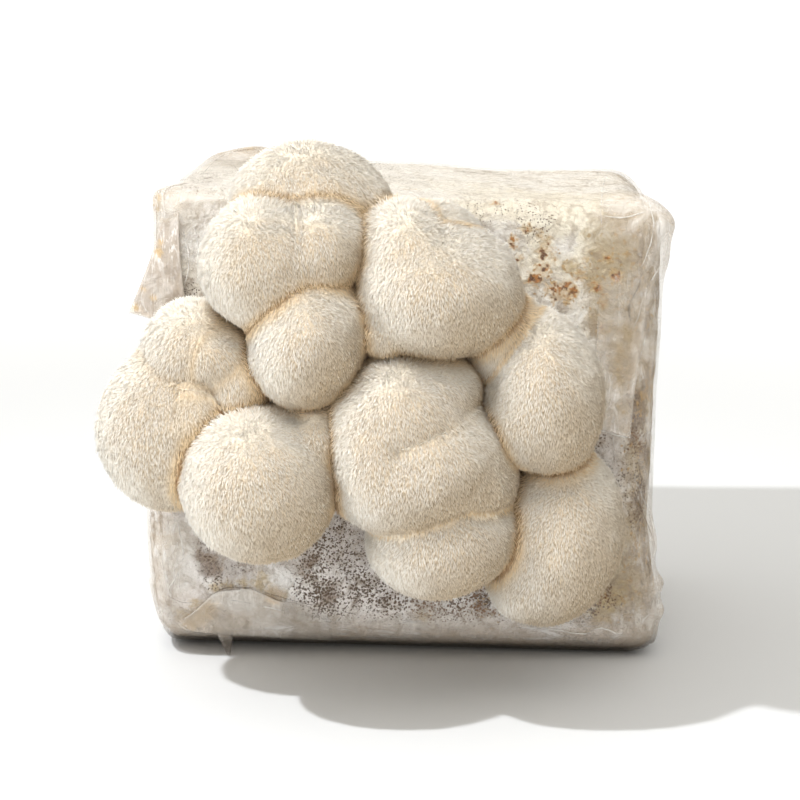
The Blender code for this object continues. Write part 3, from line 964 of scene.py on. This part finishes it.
def blockMaterial():
    nodes = Nodes("mycelium skin")
    cover = {name: nodes.attribute(name) for name in patches}
    wide = nodes.noise(30.0, detail=5.0, rough=0.65, warp=0.4)
    middle = nodes.noise(115.0, detail=6.0, rough=0.65, warp=0.8)
    fine = nodes.noise(430.0, detail=4.0, rough=0.65)
    height = nodes.height()
    sides = nodes.attribute("sides")

    # cream at the top, greyer lower down as a painted shade under the heads, with tan and white mottles
    colour = nodes.coats(
        (0.88, 0.835, 0.805), (nodes.span(height, 0.05, 0.14), (0.91, 0.87, 0.79)),
        (nodes.span(wide, 0.42, 0.62, 0.0, 0.5), (0.84, 0.82, 0.78)),
        (nodes.span(middle, 0.48, 0.68, 0.0, 0.6), (0.42, 0.34, 0.25)),
        (nodes.span(middle, 0.44, 0.32, 0.0, 0.5), (0.86, 0.85, 0.82)),
    )
    for name, (share, tint) in patchTints.items():
        edge = fine if name == "ochre" else middle
        colour = nodes.mix(nodes.spread(cover[name], edge, share), colour, tint)
    grains = nodes.cells(310.0, nodes.stirred(260.0, 0.004))
    gaps = nodes.times(nodes.span(grains, 0.42, 0.68), nodes.span(middle, 0.38, 0.58))
    # upright smears where the bag has rubbed the sides, the brown foot, painted light on the top edge and
    # painted shade at the very bottom
    smear = nodes.noise(1.0, detail=5.0, rough=0.65, vector=nodes.stretched((240.0, 240.0, 70.0)), warp=0.7)
    freckles = nodes.flecks(420.0, nodes.times(nodes.most(cover["rusty"], cover["tan"]), 0.8))
    colour = nodes.coats(
        colour,
        (nodes.span(fine, 0.55, 0.75, 0.0, 0.35), (0.30, 0.22, 0.15)),
        (nodes.times(gaps, 0.45), (0.30, 0.225, 0.155)),
        # painted light: the top edge made lighter
        (nodes.span(height, 0.184, 0.188, 0.0, 0.7), (0.90, 0.87, 0.81)),
        (nodes.times(nodes.times(sides, nodes.span(smear, 0.47, 0.58)), 0.8), (0.22, 0.155, 0.10)),
        (nodes.times(nodes.times(sides, nodes.span(smear, 0.45, 0.36)), 0.6), (0.72, 0.67, 0.61)),
        # the brown foot: partly its own stain, partly painted shade
        (nodes.times(nodes.attribute("foot"), 0.8), (0.40, 0.30, 0.20)),
        # painted shade: near black at the very bottom, where the block meets the floor
        (nodes.span(height, 0.007, 0.001), (0.05, 0.036, 0.026)),
        (nodes.times(freckles, 0.75), (0.47, 0.30, 0.12)),
    )

    # dark sawdust grains that break through the skin, thicker in patches
    loose = nodes.span(nodes.noise(19.0, detail=3.0), 0.50, 0.66, 0.0, 0.6)
    density = nodes.less(nodes.most(cover["specks"], loose), nodes.times(cover["white"], 0.5))
    speck = nodes.most(nodes.grains(880.0, density), nodes.flecks(1250.0, nodes.times(density, 0.8)))
    rusty = nodes.times(cover["rusty"], nodes.span(middle, 0.35, 0.6))
    sawdust = nodes.mix(rusty, (0.10, 0.058, 0.033), (0.26, 0.11, 0.035))
    colour = nodes.mix(nodes.times(speck, 0.97), colour, sawdust)

    # single rusty spots with a soft ochre halo
    wobbly = nodes.stirred(420.0, 0.008)
    nearest = 1.0
    for x, y, z, radius in onFront(rustSpots, 4):
        away = nodes.distance((x * mm + 0.004, y * mm + 0.004, z * mm + 0.004), wobbly)
        nearest = nodes.math("MINIMUM", nearest, nodes.less(away, radius * 1.25 * mm))
    rust = nodes.mix(nodes.span(fine, 0.4, 0.6), (0.13, 0.05, 0.02), (0.47, 0.20, 0.05))
    colour = nodes.coats(
        colour, (nodes.span(nearest, 0.0, 0.0018, 0.6, 0.0), (0.60, 0.40, 0.17)),
        (nodes.span(nearest, -0.0006, 0.0003, 1.0, 0.0), rust),
    )

    nodes.set("Base Color", colour)
    nodes.set("Roughness", nodes.span(middle, 0.2, 0.8, 0.75, 0.95))
    nodes.set("Specular IOR Level", 0.3)
    relief = nodes.plus(nodes.times(fine, 0.6), middle)
    relief = nodes.less(relief, nodes.times(grains, 0.25))
    relief = nodes.less(relief, nodes.times(speck, 0.3))
    nodes.set("Normal", nodes.bump(relief, 0.0032, 0.9))
    return nodes.owner


film = {
    "thickness": 0.35,
    "ripple": 0.45,          # mm, height of the small wrinkles
    "clear": 0.04,           # how much the clear film hides
    "milky": 0.6,            # how much more it hides where it is folded or slack
    "roughness": 0.22,
    "sideZone": (84.0, 97.0),    # mm from the middle, where the wrinkles turn upright
    "upperZone": (174.0, 186.0), # mm, heights where they turn level
    "lowerZone": (10.0, 26.0),
    # the skin stands off the block: centre, radii and push in mm
    "puffs": (
        ((101, -57, 176), (12, 14, 9), (4.0, -0.8, 1.0)),
        ((96, -50, 192), (10, 18, 6), (2.5, 0.0, 5.5)),
        ((101, -55, 163), (8, 12, 7), (2.0, -0.5, 0.0)),
        ((104, -55, 30), (8, 10, 4), (2.6, -0.5, 0.0)),
        ((103, -55, 18), (8, 10, 4), (2.2, -1.0, 0.5)),
        ((102, -55, 50), (8, 10, 9), (1.6, -0.5, 0.0)),
        ((-95, -60, 188), (6, 6, 5), (-2.5, -0.8, 2.0)),
        ((-64, 50, 190), (16, 14, 9), (0.0, 0.0, 5.0)),
        ((84, -50, 187), (7, 12, 5), (0.0, 0.0, 2.0)),
    ),
    "foldHeight": 0.5,       # share of the heights below
    # pressed folds: height and half width in mm, then the line they follow
    "folds": (
        (1.4, 1.6, ((93, -62, 188), (97, -60, 184), (98, -61, 178), (97, -62, 170), (94, -63, 160))),
        (1.0, 1.5, ((98, -58, 184), (92, -62, 180), (88, -62, 176))),
        (0.9, 1.6, ((97, -60, 158), (95, -62, 146), (93, -63, 136), (96, -61, 124))),
        (0.9, 1.4, ((99, -58, 150), (98, -59, 130), (97, -60, 108), (98, -59, 88))),
        (1.1, 1.8, ((94, -62, 84), (98, -59, 72), (100, -56, 58), (101, -55, 44))),
        (1.0, 1.6, ((78, -62, 13), (86, -62, 12), (94, -60, 14), (101, -56, 18))),
        (0.9, 1.5, ((-92, -60, 172), (-90, -62, 160), (-88, -63, 148))),
        (0.7, 1.3, ((-93, -60, 60), (-92, -62, 48), (-94, -61, 36), (-92, -60, 24))),
        (0.8, 1.6, ((-97, -50, 186), (-84, -60, 186), (-70, -61, 187), (-52, -61, 187))),
    ),
    # hazy patches, laid down as those of the skin
    "hazy": (
        (94, -62, 178, 10, 0.25), (94, -62, 128, 5, 0.9), (93, -62, 120, 4, 0.8), (86, 181, 7, 0.5),
        (-62, 40, 194, 22, 0.8), (-94, -58, 50, 8, 0.7), (-96, -56, 30, 9, 0.7), (-94, -60, 165, 6, 0.4),
        (-92, -61, 150, 6, 0.3), (96, -60, 50, 8, 0.1), (99, -56, 25, 8, 0.3), (97, -60, 150, 7, 0.2),
        (-85, -60, 187, 8, 0.4),
    ),
    # ochre stains inside the film, the same way
    "stains": (
        (-94.5, -62, 166, 2, 0.8), (-94, -62, 170, 1.5, 0.6), (-101, 152, 1.5, 0.7),
        (-97, -64, 148.5, 1.8, 0.7), (-104, 145, 1.8, 0.8), (-99, 141, 1.8, 0.7), (-66, 44, 196, 5, 0.7),
        (-80, 46, 194, 4, 0.6), (-95, -58, 183, 2.5, 0.8), (-95, -59, 187, 2.0, 0.7), (-58, 40, 197, 4, 0.6),
        (-79, -62, 19.5, 6, 0.9), (-86, -60, 13, 5, 0.8), (-52, -64, 27, 4, 0.9), (-93, -59, 27, 4, 0.7),
        (98, -58, 30, 5, 0.6), (90, -61, 14, 5, 0.5), (97, -60, 172, 3, 0.4),
    ),
    # pinched lines, drawn as painted highlights and painted shadows: x and z in mm where they cross the
    # plane of the front, seen from the camera
    "creaseWidth": 0.5,
    "creaseJump": 14.0,      # mm, a line is broken where it would leap further than this
    "creases": {
        "paintedHighlight": (
            ((93, 193), (95, 187), (97, 178), (96, 169), (93, 161)),
            ((102, 163), (96, 154), (93, 144), (90, 136)),
            ((79, 198), (77, 189), (77, 177)),
            ((78, 181), (85, 180), (94, 182)),
            ((97, 139), (94, 128), (92, 122)),
            ((84, 109), (78, 100)),
            ((75, 96), (83, 94), (91, 92)),
            ((83, 95), (85, 81)),
            ((92, 76), (97, 64), (101, 50), (100, 39), (103, 28)),
            ((39, 14), (57, 13), (73, 11), (80, 13), (91, 10), (100, 20)),
            ((-85, 175), (-83, 163), (-85, 152)),
            ((-81, 177), (-79, 167), (-80, 154)),
            ((-90, 59), (-88, 42), (-94, 30)),
            ((-85, 21), (-75, 25), (-61, 24), (-41, 19), (-23, 15)),
        ),
        "paintedShadow": (
            ((-77, 197), (-73, 201), (-68, 204), (-61, 206), (-54, 206)),
            ((-92, 186), (-92, 190), (-89, 192), (-84, 193), (-72, 194)),
            ((-66, 202), (-63, 197), (-64, 193)),
            ((94, 161), (91, 151), (88, 144), (89, 139)),
            ((90, 75), (95, 63), (100, 51)),
            ((92, 68), (95, 62)),
            ((-94, 188), (-93, 193), (-90, 194), (-78, 195), (-70, 196)),
            ((100, 159), (99, 148), (99, 132)),
            ((81, 200), (84, 198), (89, 195)),
            ((-96, 28), (-89, 24), (-81, 25), (-71, 30), (-60, 30),
             (-54, 28), (-45, 25), (-29, 21), (-9, 17)),
            ((91, 93), (94, 79), (97, 67)),
        ),
    },
}


def ridges(points, scale):
    # thin ridges, 0 to 1, where the noise crosses zero
    return 1.0 - np.clip(np.abs(noiseAt(points, scale)) * 5.0, 0.0, 1.0)


def makeFilm():
    bm, points, outward = makeShell(block["filmOutside"])
    side = smoothShare(np.abs(points[:, 0]), *film["sideZone"])
    upper = smoothShare(points[:, 2], *film["upperZone"])
    lower = 1.0 - smoothShare(points[:, 2], *film["lowerZone"])
    upright = ridges(points, (7.0, 9.0, 40.0)) * (0.15 + 0.85 * side)
    level = ridges(points + 50.0, (45.0, 12.0, 9.0)) * (0.1 + 0.5 * upper + 0.7 * lower)
    crossed = ridges(points - 70.0, (16.0, 16.0, 16.0)) * 0.35
    crease = np.maximum(np.maximum(upright, level), crossed)
    lift = crease ** 2 * film["ripple"]
    folded = np.zeros(len(points))
    for height, width, line in film["folds"]:
        near = np.exp(-(lineDistance(points, line) / width) ** 2)
        lift += near * height * film["foldHeight"]
        folded = np.maximum(folded, near)
    slack = np.zeros(len(points))
    for centre, radii, push in film["puffs"]:
        near = np.exp(-(((points - np.array(centre)) / np.array(radii)) ** 2).sum(axis=1))
        points = points + near[:, None] * np.array(push)
        slack = np.maximum(slack, near * min(1.0, np.linalg.norm(push) / 3.0))
    standing = points[:, 2] < 2.5
    points += outward * np.where(standing, 0.0, lift)[:, None]
    points[:, 2] = np.maximum(points[:, 2], 0.0)
    inside = openingDepth(points)
    placeVerts(bm, points)
    bm.verts.index_update()
    cutAway = []
    for face in bm.faces:
        cornersIn = all(inside[vert.index] > 0.0 for vert in face.verts)
        if cornersIn and face.calc_center_median().y < -55.0 * mm:
            cutAway.append(face)
    haze = slack * 0.6 + 0.15 * side + lower * 0.45 + upper * 0.12 + folded * 0.2
    haze += patchShare(points, film["hazy"])
    shares = {
        "haze": np.clip(haze, 0.0, 1.0),
        # crease: where pale lines are drawn on the film, a painted highlight on its wrinkles and folds
        "crease": np.maximum(crease ** 3 * 0.5, folded * 0.6),
        "side": 0.2 + 0.8 * side,
        "level": np.maximum(lower, upper * 0.5),
    }
    layers = {name: bm.verts.layers.float.new(name) for name in shares}
    for vert in bm.verts:
        for name, layer in layers.items():
            vert[layer] = shares[name][vert.index]
    bmesh.ops.delete(bm, geom=cutAway, context="FACES")
    piece = finishMesh("bag_skin", bm, smooth=True)
    finishFilm(piece)
    print("film:", len(piece.data.polygons), "faces before its thickness")
    makeCreases(piece)


def makeCreases(skin):
    # thin pinched lines of the film, drawn as painted highlights and painted shadows, laid on its skin where
    # the camera sees them
    tree = BVHTree.FromObject(skin, bpy.context.evaluated_depsgraph_get())
    eye = bpy.context.scene.camera.location
    for tone, lines in film["creases"].items():
        curve = bpy.data.curves.new("bag_creases_" + tone, "CURVE")
        curve.dimensions = "3D"
        curve.bevel_depth = film["creaseWidth"] * mm / 2
        curve.bevel_resolution = 1
        for line in lines:
            steps = 8 * (len(line) - 1)
            runs = [[]]
            for step in range(steps + 1):
                through = smoothLine([(x, blockFront, z) for x, z in line], step / steps)
                stir = noise.noise_vector(through / 6.0)
                toward = ((through + stir * 0.6) * mm - eye).normalized()
                spot = tree.ray_cast(eye, toward)[0]
                jump = (spot - runs[-1][-1][0]).length if spot and runs[-1] else 0.0
                if spot is None or jump > film["creaseJump"] * mm:
                    runs.append([])
                if spot is not None:
                    radius = (1.0 + stir.x) * math.sin(math.pi * (step + 0.3) / (steps + 0.6)) ** 0.6
                    runs[-1].append((spot - toward * 0.0001, radius))
            for run in runs:
                if len(run) > 1:
                    spline = curve.splines.new("POLY")
                    spline.points.add(len(run) - 1)
                    for point, (spot, radius) in zip(spline.points, run):
                        point.co = (*spot, 1.0)
                        point.radius = radius
        holder = bpy.data.objects.new(curve.name, curve)
        mesh = bpy.data.meshes.new_from_object(holder)
        bpy.data.objects.remove(holder, do_unlink=True)
        mesh.shade_smooth()
        finishFilm(inScene("bag_creases_" + tone, mesh), creaseMaterial(tone), wall=False)


def creaseMaterial(tone):
    nodes = Nodes("film crease " + tone)
    broken = nodes.span(nodes.noise(130.0, detail=3.0), 0.35, 0.6)
    # pale lines for the painted highlights, brown ones for the painted shadows
    nodes.set("Base Color", (0.88, 0.86, 0.82) if tone == "paintedHighlight" else (0.27, 0.19, 0.12))
    nodes.set("Alpha", nodes.times(broken, 0.6 if tone == "paintedHighlight" else 0.25))
    nodes.set("Roughness", 0.3)
    return nodes.owner


def finishFilm(piece, finish=None, wall=True):
    if wall:
        thick = piece.modifiers.new("wall", "SOLIDIFY")
        thick.thickness = film["thickness"] * mm
        thick.offset = -1.0
        points = np.array([vert.co for vert in piece.data.vertices]) / mm
        setAttribute(piece, "stain", patchShare(points, film["stains"]))
    piece.data.materials.append(finish or filmFinish)
    dress(piece, "bag_film")


def filmMaterial():
    nodes = Nodes("clear bag film")
    haze = nodes.attribute("haze")
    crease = nodes.attribute("crease")
    cloud = nodes.noise(75.0, detail=5.0, rough=0.65, warp=0.7)
    upright = nodes.noise(1.0, detail=3.0, rough=0.6, vector=nodes.stretched((230.0, 160.0, 28.0)), warp=0.7)
    level = nodes.noise(1.0, detail=3.0, rough=0.6, vector=nodes.stretched((26.0, 130.0, 230.0)), warp=0.7)
    # fine wrinkles, upright at the sides, level along the top and the foot; with the creases they are drawn
    # as pale lines, a painted highlight
    along = nodes.times(nodes.veins(level, 0.022), nodes.attribute("level"))
    wrinkle = nodes.most(nodes.times(nodes.veins(upright, 0.022), nodes.attribute("side")), along)
    wrinkle = nodes.times(wrinkle, nodes.span(cloud, 0.4, 0.6, 0.2, 1.0))
    stain = nodes.spread(nodes.attribute("stain"), cloud)
    light = nodes.most(nodes.times(crease, 0.7), wrinkle)
    height = nodes.height()
    nodes.set("Base Color", nodes.coats(
        (0.65, 0.54, 0.40), (nodes.span(cloud, 0.35, 0.65), (0.84, 0.775, 0.69)),
        (nodes.span(haze, 1.0, 1.3), (0.56, 0.48, 0.40)),
        (nodes.times(stain, 0.8), (0.52, 0.35, 0.15)),
        # painted highlight: pale lines on the wrinkles and creases
        (light, (0.86, 0.84, 0.81)),
        (nodes.span(height, 0.055, 0.02, 0.0, 0.3), (0.88, 0.84, 0.80)),
        # painted shade: near black at the very bottom, where the film meets the floor
        (nodes.span(height, 0.012, 0.003), (0.10, 0.075, 0.055)),
    ))
    milky = nodes.times(haze, nodes.span(cloud, 0.3, 0.7, film["milky"] * 0.5, film["milky"]))
    marks = nodes.plus(nodes.times(crease, 0.2), nodes.times(wrinkle, 0.2))
    hide = nodes.plus(nodes.plus(milky, marks), nodes.times(stain, 0.35))
    nodes.set("Alpha", nodes.plus(hide, film["clear"]))
    nodes.set("Roughness", film["roughness"])
    nodes.set("IOR", 1.6)
    small = nodes.noise(160.0, detail=5.0, rough=0.65, warp=1.2)
    nodes.set("Normal", nodes.bump(nodes.plus(small, nodes.times(upright, 0.5)), 0.0016, 0.8))
    return nodes.owner


# loose sheets of the bag: two long edges in mm, cells along and across, how milky, height of ripples
filmSheets = {
    "bag_flap_left": {
        "edges": (
            ((-94.3, -60, 180), (-95.5, -61, 172), (-99.5, -62.5, 160), (-106.8, -64, 142.5)),
            ((-86.5, -64.2, 183), (-86.5, -64.6, 170), (-85.5, -64.8, 154), (-84, -65, 136)),
        ),
        "cells": (30, 16), "haze": 1.35, "ripple": 0.5, "fade": 0.15,
    },
    "bag_flap_right": {
        "edges": (
            ((96, -63.8, 160), (94.5, -64.4, 140), (91.5, -65, 115), (89.8, -65.8, 92.4)),
            ((76, -64.7, 156), (76, -64.8, 140), (75, -65.2, 115), (74, -66, 97.6)),
        ),
        "cells": (40, 16), "haze": 0.45, "ripple": 0.35, "fade": 0.5,
    },
    "bag_lip_bottom": {
        "edges": (
            ((-91, -61.5, 15), (-83.7, -63.2, 20.3), (-75.3, -65.2, 28.4), (-68.5, -65.6, 29.8),
             (-61.3, -65.8, 30.4), (-56.5, -65.6, 28.6), (-53, -65.4, 26.6), (-49, -65.2, 25),
             (-42, -64.6, 24), (-30, -64.0, 20)),
            ((-86, -57.5, 10), (-80, -57, 9), (-74, -57, 8.4), (-68, -57, 8), (-62, -57, 7.6),
             (-57, -57, 7.4), (-52, -57, 7), (-47, -57, 6.6), (-40, -57, 6.4), (-28, -58, 6)),
        ),
        "cells": (60, 16), "haze": 0.85, "ripple": 0.5, "fade": 0.1, "endFade": 0.3,
    },
    "bag_tip_bottom": {
        "edges": (
            ((-76, -56, 9.5), (-71, -61.5, 1.2)),
            ((-69, -56, 9.0), (-69.8, -61.5, 1.0)),
        ),
        "cells": (6, 3), "haze": 0.7, "ripple": 0.0, "fade": 0.02,
    },
}


def smoothLine(points, share):
    # a point on a smooth curve through the given points
    points = [Vector(point) for point in points]
    if len(points) == 2:
        return points[0].lerp(points[1], share)
    place = min(max(share, 0.0), 1.0) * (len(points) - 1)
    index = min(int(place), len(points) - 2)
    t = place - index
    before = points[max(index - 1, 0)]
    start, end = points[index], points[index + 1]
    after = points[min(index + 2, len(points) - 1)]
    curved = (end - before) * t + (before * 2 - start * 5 + end * 4 - after) * t * t
    curved += (start * 3 - before - end * 3 + after) * t * t * t
    return start + curved * 0.5


def makeFilmSheets():
    for name, sheet in filmSheets.items():
        along, across = sheet["cells"]
        bm = bmesh.new()
        bmesh.ops.create_grid(bm, x_segments=along, y_segments=across, size=0.5)
        haze, crease, side = [bm.verts.layers.float.new(label) for label in ("haze", "crease", "side")]
        for vert in bm.verts:
            step, over = vert.co.x + 0.5, vert.co.y + 0.5
            point = smoothLine(sheet["edges"][0], step).lerp(smoothLine(sheet["edges"][1], step), over)
            wave = noise.noise(Vector((point.x / 5.0, point.y / 5.0, point.z / 22.0)))
            point.y -= wave * sheet["ripple"]
            fade = min(1.0, step / sheet["fade"], (1.0 - step) / sheet.get("endFade", 0.001))
            border = max(0.0, 1.0 - min(over, 1.0 - step, 1.0 - over) * 14.0)
            vert[haze] = sheet["haze"] * fade
            # pale lines at the border and on the ripples' crests, a painted highlight
            vert[crease] = fade * max(0.5 * border, 0.6 * max(0.0, 1.0 - abs(wave) * 8.0))
            vert[side] = 0.6
            vert.co = point * mm
        bmesh.ops.recalc_face_normals(bm, faces=bm.faces)
        finishFilm(finishMesh(name, bm, smooth=True))
    print("film sheets:", len(filmSheets))


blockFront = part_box("substrate_block")[0][1] / mm

noise.seed_set(flesh["seed"])    # else the stirring noise differs from run to run
addCamera()
addStudio()
print("camera, light and floor done")
makeBlock()
filmFinish = filmMaterial()
makeFilm()
makeFilmSheets()
makeHeads()
print("heads done")
